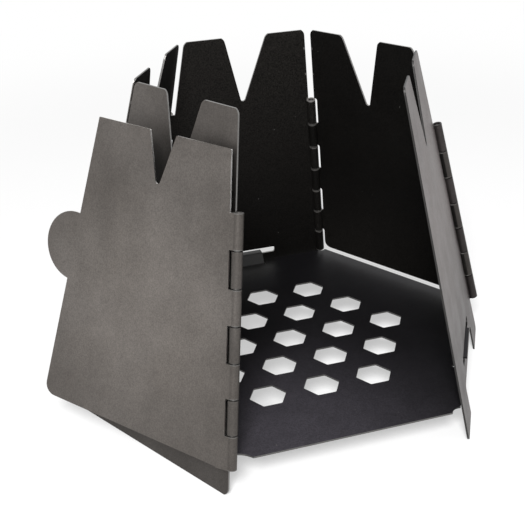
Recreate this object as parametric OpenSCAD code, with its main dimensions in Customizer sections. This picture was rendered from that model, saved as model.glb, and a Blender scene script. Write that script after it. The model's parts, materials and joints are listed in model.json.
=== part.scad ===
// Backpacking wood stove: a six-sided firebox of thin titanium sheet.
// Six walls lean inward and hang together on five rolled-knuckle hinges.
// The door is drawn folded back over the wall beside it, and the walls on the left stand a little open.
// Origin: on the ground, in the middle of the back wall's foot. +Y points away from the door, +Z up.

/* [Sheet] */
// Thickness of the sheet that every wall and the floor are cut from
sheet = 0.5; // [0.4:0.05:0.6]

/* [Firebox] */
// Distance from the centre to the middle of each wall, at the top of the floor
floor_inradius = 54.3; // [50:0.1:60]
// Lean of each wall inward from upright, in degrees
wall_lean = 12.92; // [10:0.01:15]
// Height of the top of the floor above the ground
floor_height = 9.5; // [8:0.1:14]
// Height of the pot rests above the ground
pot_height = 95; // [90:0.1:104]
// Angle that the left wall is drawn open on its back hinge, with all that hangs on it, in degrees
left_angle = 1; // [0:0.1:1.5]
// Gap between the floor and the bottom edge of a short wall
draught_gap = 2.5; // [1.5:0.1:4]
// Distance that each wall's side edge stays back from the corner line
corner_setback = 1.2; // [1:0.1:2]
// Radius of the corners of the pot rests
rest_radius = 2.2; // [1:0.1:3]
// Radius of the corners of the feet
foot_radius = 2; // [1:0.1:3]

/* [Notches] */
// Width of the V notch at the pot rests
notch_mouth = 13.4; // [11:0.1:16]
// Height of the bottom point of the V above the floor, before it is rounded
notch_apex_height = 61.8; // [58:0.1:68]
// Radius at the bottom of the V
notch_root_radius = 0.75; // [0.5:0.05:1.5]

/* [Door] */
// Height of the top of the door above the floor
door_top_height = 76.5; // [72:0.1:80]
// Distance that the door's bottom edge hangs below the top of the floor
door_drop = 1.5; // [1:0.1:3]
// Distance that the door's free edge stays back from the corner line
door_setback = 0.6; // [0.5:0.1:1.5]
// Distance that the door's edge at its hinge stays back from the corner line
door_hinge_setback = 0.9; // [0.7:0.1:2]
// Radius of the door's bottom corner on the free side
door_corner_radius = 3; // [1:0.1:5]
// Radius of the door's square teeth at their corners
door_tooth_radius = 0.3; // [0.2:0.1:1]
// Radius of the round thumb tab
thumb_radius = 9.4; // [7:0.1:11]
// Height of the middle of the thumb tab above the floor
thumb_height = 41.7; // [35:0.1:50]
// Angle that the door is drawn open, from shut, in degrees
door_angle = 227.7; // [0:0.1:234]

/* [Hinges] */
// Diameter of the pin wire
pin_diameter = 1.7; // [1.5:0.05:1.8]
// Radial running clearance between the pin and its knuckles
pin_clearance = 0.05; // [0.03:0.01:0.08]
// Thickness of the rolled knuckle
knuckle_wall = 0.5; // [0.4:0.05:0.6]
// Number of knuckles on each hinge
knuckle_count = 7; // [5:2:9]
// Gap between neighbouring knuckles along the pin
knuckle_gap = 0.35; // [0.25:0.05:0.5]
// Gap between a knuckle outside the firebox and the sheet that is cut away beside it
outside_slit = 0.9; // [0.8:0.05:1.2]
// Gap between a knuckle inside the firebox and the sheet that is cut away beside it
inside_slit = 0.65; // [0.4:0.05:0.9]
// The same gap in the door, which is cut closer
door_slit = 0.45; // [0.45:0.05:1]
// The same gap in the back wall, which is cut closest
back_slit = 0.1; // [0.1:0.05:0.4]
// Corner radius of the sheet where it is cut away beside a knuckle
slit_radius = 0.6; // [0.3:0.1:1]
// Height of the top of every hinge above the floor
hinge_top_height = 62.2; // [56:0.1:66]
// Height of the bottom of the hinges between fixed walls above the floor
hinge_bottom_height = 1.4; // [1:0.1:6]
// Distance that each pin stops short of its end knuckles
pin_recess = 0.6; // [0.3:0.1:1.5]

/* [Floor] */
// Gap between the floor's edge and the walls that pass below it
floor_gap = 0.34; // [0.3:0.01:0.6]
// Distance that the floor's edge reaches out under the short walls
floor_overhang = 0.9; // [0.5:0.1:1.5]
// Gap between the floor's front edge and the shut door
door_gap = 0.44; // [0.3:0.01:0.8]
// Radius of the round bite at the floor's corner below the door hinge
door_hinge_bite = 6.9; // [5:0.1:8]
// Distance that the middle of that bite lies outside the corner
door_hinge_bite_shift = 3.7; // [0:0.1:4]
// Radius of the round bite at the floor's corner below the door's free edge
door_free_bite = 2.6; // [2:0.1:6]
// Radius of the round bites at the floor's other corners
corner_bite = 1.2; // [1:0.1:4]
// Width across the flats of each air hole
hole_across_flats = 9.35; // [7:0.05:11]
// Radius of the corners of each air hole
hole_corner_radius = 0.6; // [0.3:0.1:1]
// Distance between the middles of neighbouring air holes
hole_pitch = 16; // [14:0.1:17]
// Rings of air holes round the middle one
hole_rings = 2; // [1:1:2]
// Distance that the air holes are set off the centre towards the right
hole_shift_right = 0.4; // [0:0.1:1]
// Distance that the air holes are set off the centre towards the door
hole_shift_front = 0.9; // [0:0.1:1.5]

/* [Floor tabs] */
// Width of each tab
tab_width = 17; // [14:0.1:22]
// Slot left on both sides of a tab so that it can be bent
tab_relief = 0.5; // [0.4:0.1:1.2]
// Distance from the bend to the floor's edge
tab_depth = 3.6; // [3:0.1:5]
// Length over which a tab climbs to its slot
tab_ramp = 2.2; // [1.5:0.1:3]
// Distance that the right tab passes outside its wall
tab_reach = 0.6; // [0.6:0.1:1.5]
// Distance that the left front tab passes outside its wall, while that wall is shut
left_front_reach = 1.8; // [1.6:0.1:2.4]
// Distance that the back tab passes outside its wall before it turns down
hook_reach = 2; // [1.5:0.1:3]
// Length of the turned-down end of the back tab, below the tab
hook_drop = 0.8; // [0.4:0.1:1]
// Outer radius of the bends of a tab's climb
bend_radius = 1.6; // [0.8:0.05:1.8]
// Outer radius of the bend where the back tab turns down
hook_radius = 0.8; // [0.7:0.05:1]
// Width of the slot that a tab passes through
slot_width = 26.4; // [24.5:0.1:30]
// Height of the slot's bottom edge above the floor
slot_bottom_height = 2.8; // [2:0.1:3.5]
// Distance that the left front wall's slot reaches lower, so that the wall can stand open
left_front_slot_room = 0.4; // [0.4:0.05:0.6]
// Height of the slot's top edge above the floor
slot_top_height = 5; // [4.8:0.1:7]
// Radius of the slot's corners
slot_radius = 0.6; // [0.3:0.1:1]
// Gap under a tab where it rests on its slot
tab_seat_gap = 0.05; // [0.05:0.05:0.3]

/* [Arch of the right wall] */
// Width between the right wall's two feet
arch_width = 35; // [30:0.5:40]
// Distance that the top of the arch lies below the top of the floor
arch_drop = 0.8; // [0.6:0.1:2]
// Radius of the corners of the arch
arch_radius = 1.5; // [0.5:0.1:3]

/* [Hidden] */

sides = 6;
side_turn = 360 / sides;
half_turn = side_turn / 2;
cut_over = 1;
arc_steps = 5;
round_steps = 96;

// Directions of the walls, seen from above
door_azimuth = -90;
right_azimuth = door_azimuth + side_turn;
back_right_azimuth = right_azimuth + side_turn;
back_azimuth = back_right_azimuth + side_turn;
left_azimuth = back_azimuth + side_turn;
left_front_azimuth = left_azimuth + side_turn;

// The corner lines: where two walls' planes meet
half_floor_side = floor_inradius * tan(half_turn);
edge_lean = atan(sin(wall_lean) * tan(half_turn));
wall_turn = acos(pow(cos(wall_lean), 2) * cos(side_turn) + pow(sin(wall_lean), 2));
ground_inradius = floor_inradius + floor_height * tan(wall_lean);

// Rolled knuckles: the axis lies beside the sheet, outside or inside the firebox
outside = 1;
inside = -1;
bore_diameter = pin_diameter + 2 * pin_clearance;
knuckle_diameter = bore_diameter + 2 * knuckle_wall;
knuckle_sink = 0.04 * knuckle_wall;
axis_offset = (knuckle_diameter - sheet) / 2 - knuckle_sink;
axis_shift = axis_offset * tan(wall_turn / 2);

// Lengths along a wall, measured up its slope from the top of the floor
function up_wall(height) = height / cos(wall_lean);
function up_edge(height) = up_wall(height) / cos(edge_lean);
function half_width(along, setback) =
    (floor_inradius - along * sin(wall_lean)) * tan(half_turn) - setback;
level_trim = sheet / 2;
wall_top = up_wall(pot_height - floor_height) + level_trim;
wall_foot = -up_wall(floor_height) - level_trim;
short_foot = up_wall(draught_gap);
door_foot = -up_wall(door_drop);
hinge_top = up_wall(hinge_top_height);
door_top = up_wall(door_top_height);
notch_apex = up_wall(notch_apex_height);
notch_slope = notch_mouth / 2 / (wall_top - notch_apex);

// An arc of a given radius in the corner b of the line a, b, c
function unit(v) = v / norm(v);
function short_way(angle) = angle > 180 ? angle - 360 : angle < -180 ? angle + 360 : angle;
function corner_arc(a, b, c, radius) =
    let (to_a = unit(a - b), to_c = unit(c - b), half = acos(to_a * to_c) / 2)
    let (middle = b + unit(to_a + to_c) * radius / sin(half))
    let (start = b + to_a * radius / tan(half) - middle, stop = b + to_c * radius / tan(half) - middle)
    let (from = atan2(start.y, start.x), turn = short_way(atan2(stop.y, stop.x) - from))
    [for (i = [0 : arc_steps]) middle + radius * [cos(from + turn * i / arc_steps), sin(from + turn * i / arc_steps)]];

// A closed outline with each corner rounded to its own radius; a radius of 0 keeps the corner
function rounded(points, radii) =
    let (count = len(points))
    [for (i = [0 : count - 1]) each
        radii[i] == 0 ? [points[i]] :
        corner_arc(points[(i + count - 1) % count], points[i], points[(i + 1) % count], radii[i])];
function rounded_box(half, low, high, radius) =
    rounded([[-half, low], [half, low], [half, high], [-half, high]], [radius, radius, radius, radius]);

// Outline of a wall from foot to top, with its V notch
function wall_outline(foot, top, low_setback, high_setback) =
    let (half_mouth = notch_slope * (top - notch_apex))
    [[-half_width(foot, low_setback), foot], [half_width(foot, high_setback), foot],
     [half_width(top, high_setback), top], [half_mouth, top], [0, notch_apex], [-half_mouth, top],
     [-half_width(top, low_setback), top]];

// Puts a wall, drawn flat with y up its slope and z outward, in its place
module stand_wall(azimuth) {
    rotate([0, 0, azimuth])
        translate([floor_inradius, 0, floor_height])
        rotate([0, -wall_lean, 0])
        rotate([90, 0, 90])
        children();
}

// The reverse of stand_wall: lays a standing wall flat
module lay_wall(azimuth) {
    rotate([-90, 0, 0])
        rotate([0, 0, -90])
        rotate([0, wall_lean, 0])
        translate([-floor_inradius, 0, -floor_height])
        rotate([0, 0, -azimuth])
        children();
}

// Trims a standing wall level at the ground and at the pot rests
module trim_level() {
    intersection() {
        children();
        translate([-2 * ground_inradius, -2 * ground_inradius, 0])
            cube([4 * ground_inradius, 4 * ground_inradius, pot_height]);
    }
}

// Moves the back wall's foot to the origin
module at_origin() {
    translate([0, -ground_inradius, 0])
        children();
}

// Puts y along a wall's corner line, x across it away from the wall
module at_edge(side) {
    mirror([side < 0 ? 1 : 0, 0, 0])
        translate([half_floor_side, 0, 0])
        rotate([0, 0, edge_lean])
        children();
}

// Turns a wall about the hinge on one of its sides; a positive angle turns it outward
module swing_wall(side, roll, angle) {
    at_edge(side)
        translate([roll * axis_shift, 0, roll * axis_offset])
        rotate([0, angle, 0])
        translate([-roll * axis_shift, 0, -roll * axis_offset])
        rotate([0, 0, -edge_lean])
        translate([-half_floor_side, 0, 0])
        mirror([side < 0 ? 1 : 0, 0, 0])
        children();
}

// Turns the standing left wall, or one that hangs on it, about the hinge to the back wall
module open_left() {
    stand_wall(left_azimuth)
        swing_wall(-1, outside, left_angle)
        lay_wall(left_azimuth)
        children();
}

// Where a hinge's knuckles lie along the corner line
// A hinge is [side, roll, bottom height, whether this wall owns the end knuckles, gap beside the other's knuckles]
function hinge_bottom(hinge) = up_edge(hinge[2]);
function knuckle_pitch(hinge) = (up_edge(hinge_top_height) - hinge_bottom(hinge)) / knuckle_count;
function knuckle_low(hinge, i) = hinge_bottom(hinge) + i * knuckle_pitch(hinge) + knuckle_gap / 2;
function knuckle_length(hinge) = knuckle_pitch(hinge) - knuckle_gap;
function is_own(hinge, i) = (i % 2 == 0) == hinge[3];

// How far from the corner line the sheet is cut away beside the other wall's knuckles
knuckle_flank = sqrt(pow(knuckle_diameter / 2, 2) - pow(axis_offset - sheet / 2, 2));
function slot_reach(hinge) = hinge[1] * axis_shift - knuckle_flank - hinge[4];

// The sheet that is cut away beside the other wall's knuckles
module knuckle_slots(hinge) {
    reach = slot_reach(hinge);
    width = corner_setback + abs(reach) + knuckle_diameter;
    at_edge(hinge[0])
        for (i = [0 : knuckle_count - 1])
            if (!is_own(hinge, i))
                translate([reach + width / 2, 0])
                    polygon(rounded_box(width / 2, knuckle_low(hinge, i) - knuckle_gap,
                        knuckle_low(hinge, i) + knuckle_length(hinge) + knuckle_gap, slit_radius));
}

// One wall's knuckles, each on the leaf of sheet that it is rolled from
module knuckles(hinge) {
    leaf_root = corner_setback + knuckle_diameter;
    at_edge(hinge[0])
        for (i = [0 : knuckle_count - 1])
            if (is_own(hinge, i))
                translate([hinge[1] * axis_shift, knuckle_low(hinge, i), 0]) {
                    translate([0, 0, hinge[1] * axis_offset])
                        rotate([-90, 0, 0])
                        cylinder(d = knuckle_diameter, h = knuckle_length(hinge), $fn = round_steps);
                    translate([-leaf_root, 0, -sheet / 2])
                        cube([leaf_root, knuckle_length(hinge), sheet]);
                }
}

// The bore through all the knuckles of a hinge
module hinge_bore(hinge) {
    at_edge(hinge[0])
        translate([hinge[1] * axis_shift, hinge_bottom(hinge) - cut_over, hinge[1] * axis_offset])
        rotate([-90, 0, 0])
        cylinder(d = bore_diameter, h = knuckle_count * knuckle_pitch(hinge) + 2 * cut_over, $fn = round_steps);
}

// A wall drawn flat: its sheet with the cut-outs given as children, and its knuckles
module wall(points, radii, hinges) {
    difference() {
        union() {
            linear_extrude(sheet, center = true)
                difference() {
                    polygon(rounded(points, radii));
                    for (hinge = hinges)
                        knuckle_slots(hinge);
                    children();
                }
            for (hinge = hinges)
                knuckles(hinge);
        }
        for (hinge = hinges)
            hinge_bore(hinge);
    }
}

// A hinge pin, in the place that its hinge has on a wall
module pin(hinge) {
    at_edge(hinge[0])
        translate([hinge[1] * axis_shift, hinge_bottom(hinge) + pin_recess, hinge[1] * axis_offset])
        rotate([-90, 0, 0])
        cylinder(d = pin_diameter, h = knuckle_count * knuckle_pitch(hinge) - 2 * pin_recess, $fn = round_steps);
}

// Each hinge as seen from the wall that owns its end knuckles, and from the wall that doesn't
door_hinge = [-1, outside, -door_drop, true, door_slit];
door_hinge_mate = [1, outside, -door_drop, false, outside_slit];
left_front_hinge = [-1, inside, hinge_bottom_height, true, inside_slit];
left_front_hinge_mate = [1, inside, hinge_bottom_height, false, inside_slit];
left_hinge = [1, outside, hinge_bottom_height, true, outside_slit];
left_hinge_mate = [-1, outside, hinge_bottom_height, false, outside_slit];
back_right_hinge = [-1, inside, hinge_bottom_height, true, back_slit];
back_right_hinge_mate = [1, inside, hinge_bottom_height, false, inside_slit];
right_hinge = [1, outside, hinge_bottom_height, true, outside_slit];
right_hinge_mate = [-1, outside, hinge_bottom_height, false, outside_slit];

// Radii round the outline of a long wall, in the order of wall_outline
long_radii = [foot_radius, foot_radius, rest_radius, rest_radius, notch_root_radius, rest_radius, rest_radius];
short_radii = [slit_radius, slit_radius, rest_radius, rest_radius, notch_root_radius, rest_radius, rest_radius];
door_radii = [slit_radius, door_corner_radius, door_tooth_radius, door_tooth_radius, notch_root_radius,
    door_tooth_radius, door_tooth_radius];
long_outline = wall_outline(wall_foot, wall_top, corner_setback, corner_setback);
short_outline = wall_outline(short_foot, wall_top, corner_setback, corner_setback);
door_outline = wall_outline(door_foot, door_top, door_hinge_setback, door_setback);

// What is cut off a short wall's lower corner, beside the bottom knuckle, to round it
module foot_corner(hinge) {
    setback = -slot_reach(hinge) / cos(edge_lean);
    corner = [hinge[0] * half_width(short_foot, setback), short_foot];
    above = [hinge[0] * half_width(hinge_top, setback), hinge_top];
    arc = corner_arc([0, short_foot], corner, above, foot_radius);
    polygon(concat([2 * corner - (arc[0] + arc[arc_steps]) / 2], arc));
}

module tab_slot(bottom_height) {
    polygon(rounded_box(slot_width / 2, up_wall(bottom_height), up_wall(slot_top_height), slot_radius));
}

// The opening between the right wall's feet
module foot_arch() {
    arch_half = arch_width / 2;
    arch_top = -up_wall(arch_drop);
    low = wall_foot - cut_over;
    polygon(rounded(
        [[-arch_half, low], [arch_half, low], [arch_half, arch_top], [-arch_half, arch_top]],
        [0, 0, arch_radius, arch_radius]));
}

module thumb_tab() {
    along = up_wall(thumb_height);
    linear_extrude(sheet, center = true)
        translate([half_width(along, door_setback), along])
        circle(r = thumb_radius, $fn = round_steps);
}

module door_wall() {
    union() {
        wall(door_outline, door_radii, [door_hinge]);
        thumb_tab();
    }
}

module door_panel() {
    color([0.45, 0.44, 0.42])
        at_origin()
        open_left()
        stand_wall(door_azimuth)
        swing_wall(-1, outside, door_angle)
        door_wall();
}

module left_front_panel() {
    color([0.36, 0.35, 0.33])
        at_origin()
        open_left()
        trim_level()
        stand_wall(left_front_azimuth)
        wall(long_outline, long_radii, [door_hinge_mate, left_front_hinge])
        tab_slot(slot_bottom_height - left_front_slot_room);
}

module left_panel() {
    color([0.4, 0.39, 0.37])
        at_origin()
        open_left()
        trim_level()
        stand_wall(left_azimuth)
        wall(short_outline, short_radii, [left_front_hinge_mate, left_hinge_mate]) {
            foot_corner(left_front_hinge_mate);
            foot_corner(left_hinge_mate);
        }
}

module back_panel() {
    color([0.42, 0.41, 0.39])
        at_origin()
        trim_level()
        stand_wall(back_azimuth)
        wall(long_outline, long_radii, [left_hinge, back_right_hinge])
        tab_slot(slot_bottom_height);
}

module back_right_panel() {
    color([0.38, 0.37, 0.36])
        at_origin()
        trim_level()
        stand_wall(back_right_azimuth)
        wall(short_outline, short_radii, [back_right_hinge_mate, right_hinge_mate]) {
            foot_corner(back_right_hinge_mate);
            foot_corner(right_hinge_mate);
        }
}

module right_panel() {
    color([0.5, 0.49, 0.48])
        at_origin()
        trim_level()
        stand_wall(right_azimuth)
        wall(long_outline, long_radii, [right_hinge]) {
            tab_slot(slot_bottom_height);
            foot_arch();
        }
}

// How far the floor reaches towards each wall, from the door round by the right
wall_inner = floor_inradius - sheet / 2 / cos(wall_lean);
long_reach = wall_inner - floor_gap;
short_reach = floor_inradius + floor_overhang;
floor_reach = [wall_inner - door_gap, long_reach, short_reach, long_reach, short_reach, long_reach];
function floor_corner(i) =
    let (azimuth = door_azimuth + i * side_turn, near = floor_reach[i], next = floor_reach[(i + 1) % sides])
    near * [cos(azimuth), sin(azimuth)]
        + (next - near * cos(side_turn)) / sin(side_turn) * [-sin(azimuth), cos(azimuth)];

// Radii of the floor's corner bites, from the right wall's back corner round by the back
floor_bites = [corner_bite, corner_bite, corner_bite, corner_bite, door_hinge_bite, door_free_bite];
bite_shifts = [0, 0, 0, 0, door_hinge_bite_shift, 0];

module air_holes() {
    hole_radius = hole_across_flats / 2 / cos(half_turn);
    corners = [for (i = [0 : sides - 1]) hole_radius * [cos(i * side_turn), sin(i * side_turn)]];
    radii = [for (i = [0 : sides - 1]) hole_corner_radius];
    for (row = [-hole_rings : hole_rings])
        for (column = [0 : 2 * hole_rings - abs(row)])
            translate([(column - hole_rings + abs(row) / 2) * hole_pitch + hole_shift_right,
                row * hole_pitch * sin(side_turn) - hole_shift_front])
                polygon(rounded(corners, radii));
}

// The middle line of a tab, outward and up, as seen from its side
tab_root = long_reach - tab_depth;
tab_level = slot_bottom_height + tab_seat_gap + sheet / 2;
tab_wall_outer = floor_inradius - slot_bottom_height * tan(wall_lean) + sheet / 2 / cos(wall_lean);
function tab_line(reach, drop) =
    let (tip = tab_wall_outer + reach)
    concat([[tab_root, -sheet / 2], [tab_root + tab_relief, -sheet / 2],
            [tab_root + tab_relief + tab_ramp, tab_level], [tip - (drop > 0 ? sheet / 2 : 0), tab_level]],
           drop > 0 ? [[tip - sheet / 2, tab_level - sheet / 2 - drop]] : []);

// A bent strip: the middle line set off to both sides, with rounded bends
function left_of(v) = [-v.y, v.x];
function offset_point(line, i, side) =
    let (before = unit(line[max(i, 1)] - line[max(i, 1) - 1]))
    let (after = unit(line[min(i, len(line) - 2) + 1] - line[min(i, len(line) - 2)]))
    let (across = unit(left_of(before) + left_of(after)))
    line[i] + side * across * sheet / 2 / (across * left_of(after));
function bend_turn(line, i) =
    i == 0 || i == len(line) - 1 ? 0 :
    sign(left_of(line[i] - line[i - 1]) * (line[i + 1] - line[i]));
function bend_radius_at(line, i, side) =
    let (outer = i == 3 ? hook_radius : bend_radius)
    bend_turn(line, i) == 0 ? 0 : bend_turn(line, i) == side ? outer - sheet : outer;
function strip(line) =
    let (last = len(line) - 1)
    rounded(
        concat([for (i = [0 : last]) offset_point(line, i, -1)], [for (i = [last : -1 : 0]) offset_point(line, i, 1)]),
        concat([for (i = [0 : last]) bend_radius_at(line, i, -1)], [for (i = [last : -1 : 0]) bend_radius_at(line, i, 1)]));

module floor_tab(azimuth, reach, drop) {
    rotate([0, 0, azimuth])
        translate([0, tab_width / 2, floor_height])
        rotate([90, 0, 0])
        linear_extrude(tab_width)
        polygon(strip(tab_line(reach, drop)));
}

module floor_plate() {
    color([0.17, 0.17, 0.19])
        at_origin()
        union() {
            translate([0, 0, floor_height - sheet])
                linear_extrude(sheet)
                difference() {
                    polygon([for (i = [0 : sides - 1]) floor_corner(i)]);
                    air_holes();
                    for (i = [0 : sides - 1])
                        rotate(i * side_turn)
                            translate([floor_inradius / cos(half_turn) + bite_shifts[i], 0])
                            circle(r = floor_bites[i], $fn = round_steps);
                    for (azimuth = [right_azimuth, back_azimuth, left_front_azimuth])
                        rotate(azimuth)
                            translate([tab_root + tab_relief / 2, -tab_width / 2 - tab_relief])
                            square([tab_depth + cut_over, tab_width + 2 * tab_relief]);
                }
            floor_tab(right_azimuth, tab_reach, 0);
            floor_tab(left_front_azimuth, left_front_reach, 0);
            floor_tab(back_azimuth, hook_reach, hook_drop);
        }
}

pin_grey = [0.3, 0.3, 0.3];

module door_pin() {
    color(pin_grey)
        at_origin()
        open_left()
        stand_wall(door_azimuth)
        pin(door_hinge);
}

module left_front_pin() {
    color(pin_grey)
        at_origin()
        open_left()
        stand_wall(left_front_azimuth)
        pin(left_front_hinge);
}

module left_pin() {
    color(pin_grey)
        at_origin()
        stand_wall(back_azimuth)
        pin(left_hinge);
}

module back_right_pin() {
    color(pin_grey)
        at_origin()
        stand_wall(back_azimuth)
        pin(back_right_hinge);
}

module right_pin() {
    color(pin_grey)
        at_origin()
        stand_wall(right_azimuth)
        pin(right_hinge);
}

door_panel();
left_front_panel();
left_panel();
back_panel();
back_right_panel();
right_panel();
floor_plate();
door_pin();
left_front_pin();
left_pin();
back_right_pin();
right_pin();
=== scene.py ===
import json
import math

import bpy
from mathutils import Matrix, Vector

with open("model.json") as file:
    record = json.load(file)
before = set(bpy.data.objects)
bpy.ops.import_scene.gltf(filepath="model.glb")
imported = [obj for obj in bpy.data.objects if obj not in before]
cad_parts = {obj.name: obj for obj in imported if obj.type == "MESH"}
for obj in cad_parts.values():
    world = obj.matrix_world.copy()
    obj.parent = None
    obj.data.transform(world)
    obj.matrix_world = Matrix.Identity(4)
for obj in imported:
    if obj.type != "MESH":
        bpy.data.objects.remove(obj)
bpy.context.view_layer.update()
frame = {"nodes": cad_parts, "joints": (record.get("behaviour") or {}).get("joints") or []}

# The walls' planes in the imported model's frame, in metres, as part.scad gives them
FLOOR_INRADIUS = 0.0543
FLOOR_HEIGHT = 0.0095
WALL_LEAN = math.radians(12.92)
SHEET = 0.0005
CENTRE_Y = -(FLOOR_INRADIUS + FLOOR_HEIGHT * math.tan(WALL_LEAN))
# Half of the turn from one wall to the next, and the lean of a wall's edges within the wall
HALF_TURN = math.radians(30)
EDGE_LEAN = math.atan(math.sin(WALL_LEAN) * math.tan(HALF_TURN))
# The way that each wall faces in the closed ring, in degrees from +X
AZIMUTH = {
    "right_panel": -30,
    "back_right_panel": 30,
    "back_panel": 90,
    "left_panel": 150,
    "left_front_panel": 210,
    "door_panel": -90,
}
# How far the left wall and the door are drawn open, and the walls that turn with the left one
LEFT_OPEN = math.radians(1.0)
DOOR_OPEN = math.radians(227.7)
LEFT_SIDE = ("left_panel", "left_front_panel", "door_panel")

# Heights of the hinges' ends above the floor, and the size of their rolled knuckles
HINGE_TOP = 0.0622
HINGE_BOTTOM = 0.0014
DOOR_HINGE_BOTTOM = -0.0015
KNUCKLES = 7
KNUCKLE_RADIUS = 0.0014
# Width of the band at the end of a knuckle, where light is painted: a highlight on most walls, shade on the
# right wall
RIM = 0.00042
# How far a knuckle reaches from its axis, and a cut edge from the middle of the sheet, with room
KNUCKLE_REACH = KNUCKLE_RADIUS * 1.02
CUT_REACH = SHEET * 0.54
# The joints whose knuckles each wall carries, and the sides of the walls at the door's hinge
HINGES = {
    "door_panel": ["door_swing"],
    "left_front_panel": ["door_swing", "left_front_spread"],
    "left_panel": ["left_front_spread", "left_spread"],
    "back_panel": ["left_spread", "back_right_spread"],
    "back_right_panel": ["back_right_spread", "right_swing"],
    "right_panel": ["right_swing"],
}
DOOR_HINGE_SIDES = (("door_panel", -1), ("left_front_panel", 1))

# The camera at the photograph's viewing angle, with its picture's size and centre in pixels
VIEW_AZIMUTH = math.radians(-16.545)
VIEW_ELEVATION = math.radians(26.459)
VIEW_ROLL = math.radians(-2.062)
VIEW_TARGET = Vector((-0.0150, -0.02441 + CENTRE_Y, 0.0400 + FLOOR_HEIGHT))
VIEW_DISTANCE = 0.26238
PICTURE_SIZE = 525
PICTURE_CENTRE = (260.93, 261.22)
FOCAL_LENGTH = 986.63
SENSOR_WIDTH = 36

# The range that most of a noise's values lie in
NOISE_LOW = 0.3
NOISE_HIGH = 0.7
# Depth of the relief that blasting leaves on sheet, and drawing on wire
BLAST_DEPTH = 0.00006
DRAWN_DEPTH = 0.00002
# The floor's hook tab, painted near black and without violet as shade in its slot, and the middle of the
# painted sheen near the door
HOOK_TAB = (0, -0.0025, FLOOR_HEIGHT + 0.002)
PAINTED_SHEEN = (-0.015, -0.105, FLOOR_HEIGHT)
# A distance too small to see, by which planes are kept apart
HAIR = 0.00002

# The stage: its half width, the grey of its paper, and the share of it that is white beside the stove
STAGE_HALF = 4.0
PAPER = 0.92
WHITE_BESIDE = 0.5
# Strength of the world as a light, and of what is seen as white
WORLD_LIGHT = 0.25
WHITE = 1.0
# The middle of the stove, where the lamps point
MIDDLE = (0, CENTRE_Y, 0.04)


def joint_named(name):
    return next(joint for joint in frame["joints"] if joint["name"] == name)


def swing_about(name, angle, point, directions):
    """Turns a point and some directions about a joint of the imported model."""
    joint = joint_named(name)
    pivot = Vector(joint["pos_m"])
    swing = Matrix.Rotation(angle, 3, Vector(joint["axis"]))
    return pivot + swing @ (point - pivot), [swing @ direction for direction in directions]


def wall_frame(node):
    """The middle of a wall's sheet at the floor, and its outward, up-slope and two edge directions."""
    turn = math.radians(AZIMUTH[node])
    outward = Vector((math.cos(turn), math.sin(turn), 0))
    across = Vector((-math.sin(turn), math.cos(turn), 0))
    up = Vector((0, 0, 1))
    point = outward * FLOOR_INRADIUS + Vector((0, CENTRE_Y, FLOOR_HEIGHT))
    normal = outward * math.cos(WALL_LEAN) + up * math.sin(WALL_LEAN)
    slope = -outward * math.sin(WALL_LEAN) + up * math.cos(WALL_LEAN)
    edges = [slope * math.cos(EDGE_LEAN) - across * side * math.sin(EDGE_LEAN) for side in (-1, 1)]
    directions = [normal, slope, *edges]
    if node in LEFT_SIDE:
        point, directions = swing_about("left_spread", LEFT_OPEN, point, directions)
    if node == "door_panel":
        point, directions = swing_about("door_swing", -DOOR_OPEN, point, directions)
    normal, slope, *edges = directions
    return point, normal, slope, edges


def on_wall(node, up):
    """A point on the middle line of a wall's sheet, at a length above its floor line."""
    point, _, slope, _ = wall_frame(node)
    return point + slope * up


def make_camera():
    """The camera, turned round its target to the photograph's viewing angle."""
    flat = math.cos(VIEW_ELEVATION)
    back = Vector((math.sin(VIEW_AZIMUTH) * flat, -math.cos(VIEW_AZIMUTH) * flat, math.sin(VIEW_ELEVATION)))
    level = Vector((math.cos(VIEW_AZIMUTH), math.sin(VIEW_AZIMUTH), 0))
    upward = back.cross(level)
    right = level * math.cos(VIEW_ROLL) + upward * math.sin(VIEW_ROLL)
    above = -level * math.sin(VIEW_ROLL) + upward * math.cos(VIEW_ROLL)
    turned = Matrix((right, above, back)).transposed().to_4x4()
    data = bpy.data.cameras.new("camera")
    data.sensor_width = SENSOR_WIDTH
    data.lens = FOCAL_LENGTH / PICTURE_SIZE * SENSOR_WIDTH
    data.shift_x = (PICTURE_SIZE / 2 - PICTURE_CENTRE[0]) / PICTURE_SIZE
    data.shift_y = (PICTURE_CENTRE[1] - PICTURE_SIZE / 2) / PICTURE_SIZE
    data.clip_start = 0.01
    data.clip_end = 20
    camera = bpy.data.objects.new("camera", data)
    bpy.context.scene.collection.objects.link(camera)
    camera.matrix_world = Matrix.Translation(VIEW_TARGET + back * VIEW_DISTANCE) @ turned
    bpy.context.scene.camera = camera


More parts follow.
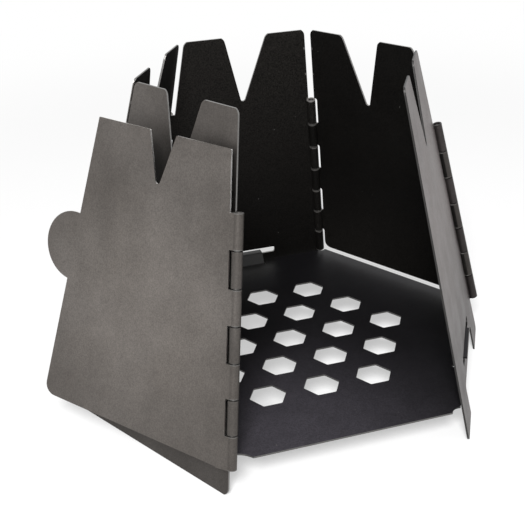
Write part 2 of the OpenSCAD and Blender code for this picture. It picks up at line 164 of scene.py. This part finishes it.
class Shader:
    """A material's node tree, with short calls for the nodes that it is made of."""

    def __init__(self, name):
        self.material = bpy.data.materials.new(name)
        self.material.use_nodes = True
        self.tree = self.material.node_tree
        self.tree.nodes.clear()
        self.output = self.tree.nodes.new("ShaderNodeOutputMaterial")
        coords = self.tree.nodes.new("ShaderNodeTexCoord")
        self.place = coords.outputs["Object"]
        self.facing = coords.outputs["Normal"]

    def link(self, source, socket):
        if hasattr(source, "is_output"):
            self.tree.links.new(source, socket)
        else:
            socket.default_value = source

    def math(self, operation, a, b=0.0):
        node = self.tree.nodes.new("ShaderNodeMath")
        node.operation = operation
        self.link(a, node.inputs[0])
        self.link(b, node.inputs[1])
        return node.outputs[0]

    def vector(self, operation, a, b=None):
        node = self.tree.nodes.new("ShaderNodeVectorMath")
        node.operation = operation
        self.link(a, node.inputs[0])
        if b is not None:
            self.link(b, node.inputs[1])
        return node.outputs

    def dot(self, a, b):
        return self.vector("DOT_PRODUCT", a, b)["Value"]

    def beyond(self, point, direction):
        """Distance past a point, along a unit direction."""
        return self.math("SUBTRACT", self.dot(self.place, direction), point.dot(direction))

    def from_line(self, point, direction):
        """Distance from a line through a point, along a unit direction."""
        offset = self.vector("SUBTRACT", self.place, point)["Vector"]
        return self.vector("LENGTH", self.vector("CROSS_PRODUCT", offset, direction)["Vector"])["Value"]

    def patch(self, centre, near, far):
        """1 within a distance of a point, falling softly to 0 further off."""
        return self.fade(self.vector("DISTANCE", self.place, centre)["Value"], near, far, 1.0, 0.0)

    def noise(self, scale, detail, roughness, stretch=(1, 1, 1), shift=(0, 0, 0)):
        mapping = self.tree.nodes.new("ShaderNodeMapping")
        mapping.inputs["Scale"].default_value = stretch
        mapping.inputs["Location"].default_value = shift
        self.link(self.place, mapping.inputs["Vector"])
        node = self.tree.nodes.new("ShaderNodeTexNoise")
        node.inputs["Scale"].default_value = scale
        node.inputs["Detail"].default_value = detail
        node.inputs["Roughness"].default_value = roughness
        self.link(mapping.outputs["Vector"], node.inputs["Vector"])
        return node.outputs["Fac"]

    def blend(self, factor, a, b, mode="MIX"):
        node = self.tree.nodes.new("ShaderNodeMix")
        node.data_type = "RGBA"
        node.blend_type = mode
        self.link(factor, node.inputs["Factor"])
        self.link(a, node.inputs[6])
        self.link(b, node.inputs[7])
        return node.outputs[2]

    def shaded(self, colour, shade):
        """A colour made lighter or darker by a factor."""
        return self.blend(1.0, colour, shade, "MULTIPLY")

    def fade(self, value, low, high, to_low=0.0, to_high=1.0):
        """Softly from one number to another as the value goes from low to high."""
        node = self.tree.nodes.new("ShaderNodeMapRange")
        node.interpolation_type = "SMOOTHSTEP"
        self.link(value, node.inputs["Value"])
        numbers = {"From Min": low, "From Max": high, "To Min": to_low, "To Max": to_high}
        for socket, number in numbers.items():
            node.inputs[socket].default_value = number
        return node.outputs["Result"]

    def spread(self, noise, to_low, to_high):
        """Softly from one number to another over the range of a noise."""
        return self.fade(noise, NOISE_LOW, NOISE_HIGH, to_low, to_high)

    def between(self, factor, to_low, to_high):
        """Softly from one number to another as a factor goes from 0 to 1."""
        return self.fade(factor, 0.0, 1.0, to_low, to_high)

    def bump(self, height, strength, distance):
        node = self.tree.nodes.new("ShaderNodeBump")
        node.inputs["Strength"].default_value = strength
        node.inputs["Distance"].default_value = distance
        self.link(height, node.inputs["Height"])
        return node.outputs["Normal"]

    def layers(self, *factors):
        """The product of some factors."""
        result = factors[0]
        for factor in factors[1:]:
            result = self.math("MULTIPLY", result, factor)
        return result

    def most(self, *factors):
        """The largest of some factors."""
        result = factors[0]
        for factor in factors[1:]:
            result = self.math("MAXIMUM", result, factor)
        return result

    def inverse(self, factor):
        return self.math("SUBTRACT", 1.0, factor)

    def blasting(self):
        """The mottle and grain that blasting leaves, and their relief."""
        mottle = self.noise(scale=700, detail=4, roughness=0.7)
        grain = self.noise(scale=2600, detail=2, roughness=0.6)
        height = self.math("ADD", self.layers(grain, 0.6), self.layers(mottle, 0.4))
        return mottle, grain, self.bump(height, strength=0.5, distance=BLAST_DEPTH)

    def dusted(self, colour, level, shift):
        """A colour with a few pale specks, where a noise passes a level."""
        specks = self.noise(scale=1150, detail=1, roughness=0.3, shift=shift)
        amount = self.layers(self.math("GREATER_THAN", specks, level), 0.6)
        return self.blend(amount, colour, grey(0.16, warmth=0.03))

    def surface(self, **sockets):
        node = self.tree.nodes.new("ShaderNodeBsdfPrincipled")
        for name, value in sockets.items():
            self.link(value, node.inputs[name.replace("_", " ")])
        self.tree.links.new(node.outputs[0], self.output.inputs[0])
        return self.material


def grey(value, warmth=0.0, violet=0.0):
    """A grey in linear light, a little warm or cool, or a little violet."""
    return (value * (1 + warmth), value * (1 - violet), value * (1 - warmth), 1)


def rolled_knuckles(shader, node):
    """1 on a wall's rolled knuckles."""
    joints = [joint_named(name) for name in HINGES[node]]
    from_axes = [shader.from_line(joint["pos_m"], joint["axis"]) for joint in joints]
    return shader.most(*[shader.math("LESS_THAN", away, KNUCKLE_REACH) for away in from_axes])


def knuckle_rims(shader, node):
    """1 in the bands across a wall where its knuckles end, where a highlight is painted."""
    point, normal, slope, edges = wall_frame(node)
    across = slope.cross(normal)
    half = FLOOR_INRADIUS * math.tan(HALF_TURN)
    rise = math.cos(WALL_LEAN) * math.cos(EDGE_LEAN)
    along_wall = shader.beyond(point, across)
    rims = []
    for side, edge in zip((-1, 1), edges):
        bottom = DOOR_HINGE_BOTTOM if (node, side) in DOOR_HINGE_SIDES else HINGE_BOTTOM
        pitch = (HINGE_TOP - bottom) / rise / KNUCKLES
        start = (point + across * side * half).dot(edge) + bottom / rise
        up_edge = shader.math("SUBTRACT", shader.dot(shader.place, edge), start)
        from_end = shader.math("PINGPONG", up_edge, pitch / 2)
        on_side = shader.math("GREATER_THAN", shader.layers(along_wall, side), 0.0)
        rims.append(shader.layers(shader.math("LESS_THAN", from_end, RIM), on_side))
    return shader.most(*rims)


def blasted_titanium(node, tone, inner_tone, edge_gain, rim_gain=0.6, knuckle_shade_gain=1.0, warmth=0.085,
                     violet=0.01, streaks=0.04, patch=None, heights=None, foot=None, inner_heights=None):
    """Bead-blasted sheet: satin grey outside, painted dark inside as the shade of the hollow, bright along
    its cut edges as bare metal with a painted highlight.

    The gains set the brightness of the cut edges, bare metal with a painted highlight, of the knuckles'
    rims, a painted highlight, and of the rolled knuckles, painted shade, against the outer tone. The
    patch softly paints a highlight round a point, the heights softly paint shade up the wall, which the
    foot lightens near the ground, and the inner heights change the painted shade inside up the wall.
    """
    point, normal, slope, edges = wall_frame(node)
    shader = Shader(node + "_titanium")
    depth = shader.beyond(point, normal)
    risen = shader.beyond(point, slope)
    rolled = rolled_knuckles(shader, node)
    in_sheet = shader.math("LESS_THAN", shader.math("ABSOLUTE", depth), CUT_REACH)
    sideways = shader.math("LESS_THAN", shader.math("ABSOLUTE", shader.dot(shader.facing, normal)), 0.6)
    cut = shader.layers(in_sheet, sideways, shader.inverse(rolled))
    along_edges = [shader.math("ABSOLUTE", shader.dot(shader.facing, edge)) for edge in edges]
    ends = shader.most(*[shader.math("GREATER_THAN", along, 0.9) for along in along_edges])
    rims = shader.layers(shader.most(knuckle_rims(shader, node), ends), rolled)

    cloud = shader.noise(scale=34, detail=3, roughness=0.55)
    blotch = shader.noise(scale=95, detail=3, roughness=0.6)
    streak = shader.noise(scale=150, detail=3, roughness=0.6, stretch=(1, 1, 0.12))
    mottle, grain, relief = shader.blasting()
    speckle = shader.math("ADD", shader.spread(mottle, 0.91, 1.05), shader.spread(grain, -0.13, 0.13))
    clouds = shader.layers(shader.spread(cloud, 0.88, 1.1), shader.spread(blotch, 0.95, 1.05))
    shade = shader.layers(clouds, speckle, shader.spread(streak, 1 - streaks, 1 + streaks))
    # The patch paints a highlight round a point: lighter in the middle, darker further off.
    if patch:
        centre, near, far, low, high = patch
        shade = shader.layers(shade, shader.between(shader.patch(centre, near, far), low, high))
    # The heights paint shade up the wall: on the left front wall the shadow of the folded door, lightened
    # near the ground by the foot, and on the right wall darker towards the bottom. The rolled knuckles keep
    # most of their tone.
    if heights:
        band = shader.fade(risen, *heights)
        if foot:
            band = shader.layers(band, shader.fade(risen, *foot))
        shade = shader.layers(shade, shader.most(band, shader.layers(rolled, 0.9)))
    # The rolled knuckles are painted darker as shade.
    if knuckle_shade_gain != 1.0:
        shade = shader.layers(shade, shader.between(rolled, 1.0, knuckle_shade_gain))
    warm = grey(tone, warmth * 1.2, violet)
    cool = grey(tone, warmth * 0.8, violet * 1.4)
    colour = shader.shaded(shader.blend(cloud, warm, cool), shade)
    metal = shader.spread(mottle, 0.78, 0.88)
    rough = shader.spread(blotch, 0.43, 0.52)

    if inner_tone is not None:
        # The inside is painted dark as the shade of the hollow, and the inner heights change that painted
        # shade up the wall. The pale specks are dust.
        inside = shader.math("LESS_THAN", depth, 0.0)
        painted_inner_shade = shader.blend(cloud, grey(inner_tone * 0.75, warmth=0.13), grey(inner_tone * 1.25, warmth=0.09))
        painted_inner_shade = shader.shaded(painted_inner_shade, shader.spread(grain, 0.35, 1.65))
        if inner_heights:
            painted_inner_shade = shader.shaded(painted_inner_shade, shader.fade(risen, *inner_heights))
        painted_inner_shade = shader.dusted(painted_inner_shade, level=0.835, shift=(7.3, 2.1, 4.9))
        colour = shader.blend(inside, colour, painted_inner_shade)
        metal = shader.layers(shader.inverse(inside), metal)
        rough = shader.math("ADD", rough, shader.layers(inside, 0.12))
        rims = shader.layers(rims, shader.between(inside, 0.3, 1.0))

    # The knuckles' rims get a painted highlight, set by the rim gain against the outer tone.
    rim_tone = tone * rim_gain
    edge_tone = tone * edge_gain
    rim_colour = shader.blend(mottle, grey(rim_tone, warmth=0.05), grey(rim_tone * 1.6, warmth=0.04))
    # The cut edges are bare metal with a painted highlight, set by the edge gain against the outer tone.
    edge_highlight_colour = shader.blend(mottle, grey(edge_tone * 0.8, warmth=0.03), grey(edge_tone * 1.2, warmth=0.02))
    colour = shader.blend(rims, colour, rim_colour)
    colour = shader.blend(cut, colour, edge_highlight_colour)
    metal = shader.most(metal, shader.layers(rims, 0.85), cut)
    rough = shader.math("SUBTRACT", rough, shader.layers(cut, 0.16))
    return shader.surface(Base_Color=colour, Metallic=metal, Roughness=rough, Specular_IOR_Level=0.12,
                          Normal=relief)


def floor_titanium():
    """The fire floor: dark and a little violet, with a painted sheen near the door and painted shade on the
    hook tab, lighter below, and bright where it is cut as bare metal with a painted highlight.
    """
    shader = Shader("floor_titanium")
    up = (0, 0, 1)
    up_facing = shader.dot(shader.facing, up)
    upright = shader.math("LESS_THAN", shader.math("ABSOLUTE", up_facing), 0.5)
    flat = shader.math("LESS_THAN", shader.dot(shader.place, up), FLOOR_HEIGHT + HAIR)
    cut = shader.layers(flat, upright)
    below = shader.math("LESS_THAN", up_facing, -0.5)
    hook_shade = shader.patch(HOOK_TAB, near=0.012, far=0.016)
    painted_sheen = shader.patch(PAINTED_SHEEN, near=0.0, far=0.062)

    cloud = shader.noise(scale=30, detail=4, roughness=0.6)
    blotch = shader.noise(scale=110, detail=3, roughness=0.6)
    mottle, grain, relief = shader.blasting()
    speckle = shader.math("ADD", shader.spread(mottle, 0.88, 1.08), shader.spread(grain, -0.22, 0.22))
    shade = shader.layers(speckle, shader.spread(blotch, 0.93, 1.07))
    colour = shader.blend(cloud, grey(0.0062, violet=0.06), grey(0.0105, warmth=-0.06, violet=0.12))
    # A painted sheen lightens the floor near the door.
    colour = shader.blend(painted_sheen, colour, grey(0.048, warmth=-0.05, violet=0.13))
    # The hook tab is painted near black and not metallic, as the shade in its slot.
    colour = shader.blend(hook_shade, colour, grey(0.005, warmth=0.05))
    colour = shader.dusted(colour, level=0.83, shift=(3.1, 8.4, 1.7))
    colour = shader.blend(below, colour, grey(0.1, warmth=0.04))
    colour = shader.shaded(colour, shade)
    # The cut edges are bare metal with a painted highlight.
    edge_highlight_colour = shader.blend(mottle, grey(0.09, warmth=0.03), grey(0.15, warmth=0.02))
    colour = shader.blend(cut, colour, edge_highlight_colour)
    metal = shader.layers(shader.spread(cloud, 0.25, 0.4), shader.inverse(hook_shade))
    metal = shader.most(metal, shader.layers(cut, 0.9))
    rough = shader.fade(cloud, 0.35, NOISE_HIGH, 0.42, 0.52)
    rough = shader.math("SUBTRACT", rough, shader.layers(cut, 0.12))
    return shader.surface(Base_Color=colour, Metallic=metal, Roughness=rough, Specular_IOR_Level=0.3,
                          Normal=relief)


def pin_wire():
    """Drawn wire of the hinge pins, seen only at their ends."""
    shader = Shader("pin_wire")
    drawn = shader.noise(scale=900, detail=2, roughness=0.6, stretch=(1, 1, 0.05))
    colour = shader.blend(drawn, grey(0.12, warmth=0.02), grey(0.2, warmth=0.02))
    rough = shader.spread(drawn, 0.3, 0.42)
    relief = shader.bump(drawn, strength=0.3, distance=DRAWN_DEPTH)
    return shader.surface(Base_Color=colour, Metallic=0.9, Roughness=rough, Normal=relief)


def wall_looks():
    """The look of each wall, as blasted_titanium takes it."""
    return {
        # The door's patch is a painted highlight in the middle of its face.
        "door_panel": dict(
            tone=0.132, inner_tone=None, warmth=0.09, edge_gain=6.0, rim_gain=0.7, knuckle_shade_gain=0.8,
            patch=(on_wall("door_panel", 0.032), 0.004, 0.045, 0.8, 1.16)),
        # The left front wall's heights paint the shadow of the folded door on its lower part, and the foot
        # lightens that painted shadow near the ground.
        "left_front_panel": dict(
            tone=0.104, inner_tone=0.006, edge_gain=2.0, knuckle_shade_gain=0.9,
            heights=(0.067, 0.084, 0.22, 0.97), foot=(0.0, 0.03, 2.6, 1.0)),
        "left_panel": dict(
            tone=0.11, inner_tone=0.004, edge_gain=1.4),
        # The back wall's inner heights paint shade that darkens towards the bottom of the hollow.
        "back_panel": dict(
            tone=0.14, inner_tone=0.006, edge_gain=1.6, rim_gain=1.1,
            inner_heights=(0.01, 0.085, 0.75, 1.55)),
        # The back right wall's inner heights paint light near the floor against the right wall's shadow, and
        # its knuckles are painted dark as shade.
        "back_right_panel": dict(
            tone=0.12, inner_tone=0.0038, edge_gain=1.8, rim_gain=1.1, knuckle_shade_gain=0.4,
            inner_heights=(0.0, 0.04, 2.0, 1.0)),
        # The right wall is darker towards the bottom and lighter round its patch, and its knuckles, their
        # rims and its cut edges are painted dark as shade.
        "right_panel": dict(
            tone=0.138, inner_tone=0.006, warmth=0.075, violet=0.04, streaks=0.05, edge_gain=0.35,
            rim_gain=0.1, knuckle_shade_gain=0.3, heights=(0.0, 0.05, 0.56, 1.0),
            patch=(on_wall("right_panel", 0.045), 0.01, 0.05, 0.85, 1.08)),
    }


def dress(node, material):
    """Gives a piece of the frame its one material."""
    piece = frame["nodes"][node]
    piece.data.materials.clear()
    piece.data.materials.append(material)


def dress_all():
    for node, look in wall_looks().items():
        dress(node, blasted_titanium(node, **look))
    dress("floor_plate", floor_titanium())
    wire = pin_wire()
    for node in frame["nodes"]:
        if node.endswith("_pin"):
            dress(node, wire)


def seen_directly(tree):
    """1 where the camera sees a surface, straight on, in metal or through glass."""
    path = tree.nodes.new("ShaderNodeLightPath")
    seen = path.outputs["Is Camera Ray"]
    for kind in ("Is Glossy Ray", "Is Transmission Ray"):
        either = tree.nodes.new("ShaderNodeMath")
        either.operation = "MAXIMUM"
        tree.links.new(seen, either.inputs[0])
        tree.links.new(path.outputs[kind], either.inputs[1])
        seen = either.outputs[0]
    return seen


def mix_shaders(tree, factor, first, second, socket):
    """Lays one shader over another by a factor, and gives the mix to a socket."""
    mix = tree.nodes.new("ShaderNodeMixShader")
    tree.links.new(factor, mix.inputs[0])
    tree.links.new(first.outputs[0], mix.inputs[1])
    tree.links.new(second.outputs[0], mix.inputs[2])
    tree.links.new(mix.outputs[0], socket)


def make_stage():
    """A pale floor that keeps the shadow near the stove, and is white further off."""
    shader = Shader("stage_floor")
    paper = shader.tree.nodes.new("ShaderNodeBsdfDiffuse")
    paper.inputs["Color"].default_value = (PAPER, PAPER, PAPER, 1)
    glow = shader.tree.nodes.new("ShaderNodeEmission")
    glow.inputs["Strength"].default_value = WHITE
    beside = shader.patch((0, CENTRE_Y, 0), near=0.12, far=0.5)
    seen = shader.layers(seen_directly(shader.tree), shader.between(beside, 1.0, WHITE_BESIDE))
    mix_shaders(shader.tree, seen, paper, glow, shader.output.inputs[0])
    corners = [(x * STAGE_HALF, y * STAGE_HALF, 0) for x, y in ((-1, -1), (1, -1), (1, 1), (-1, 1))]
    mesh = bpy.data.meshes.new("stage_floor")
    mesh.from_pydata(corners, [], [(0, 1, 2, 3)])
    mesh.materials.append(shader.material)
    floor = bpy.data.objects.new("stage_floor", mesh)
    floor.location = (0, 0, -HAIR)
    bpy.context.scene.collection.objects.link(floor)


def area_light(name, place, size, power):
    """A round lamp that points at the middle of the stove."""
    data = bpy.data.lights.new(name, "AREA")
    data.shape = "DISK"
    data.size = size
    data.energy = power
    lamp = bpy.data.objects.new(name, data)
    lamp.location = place
    lamp.rotation_mode = "QUATERNION"
    lamp.rotation_quaternion = (Vector(MIDDLE) - Vector(place)).to_track_quat("-Z", "Y")
    bpy.context.scene.collection.objects.link(lamp)


def light_stage():
    """Soft studio light from the front, and a world that lights softly and is seen white."""
    area_light("key", (-0.42, -0.94, 0.97), size=0.46, power=24.5)
    area_light("top", (0.1, -0.1, 1.1), size=0.6, power=1.0)
    area_light("side", (0.9, -0.6, 0.5), size=0.5, power=1.0)
    world = bpy.data.worlds.new("world")
    bpy.context.scene.world = world
    world.use_nodes = True
    tree = world.node_tree
    tree.nodes.clear()
    output = tree.nodes.new("ShaderNodeOutputWorld")
    backgrounds = []
    for strength in (WORLD_LIGHT, WHITE):
        background = tree.nodes.new("ShaderNodeBackground")
        background.inputs["Color"].default_value = (1, 1, 1, 1)
        background.inputs["Strength"].default_value = strength
        backgrounds.append(background)
    mix_shaders(tree, seen_directly(tree), *backgrounds, output.inputs[0])
    bpy.context.scene.view_settings.view_transform = "Standard"


make_camera()
dress_all()
make_stage()
light_stage()
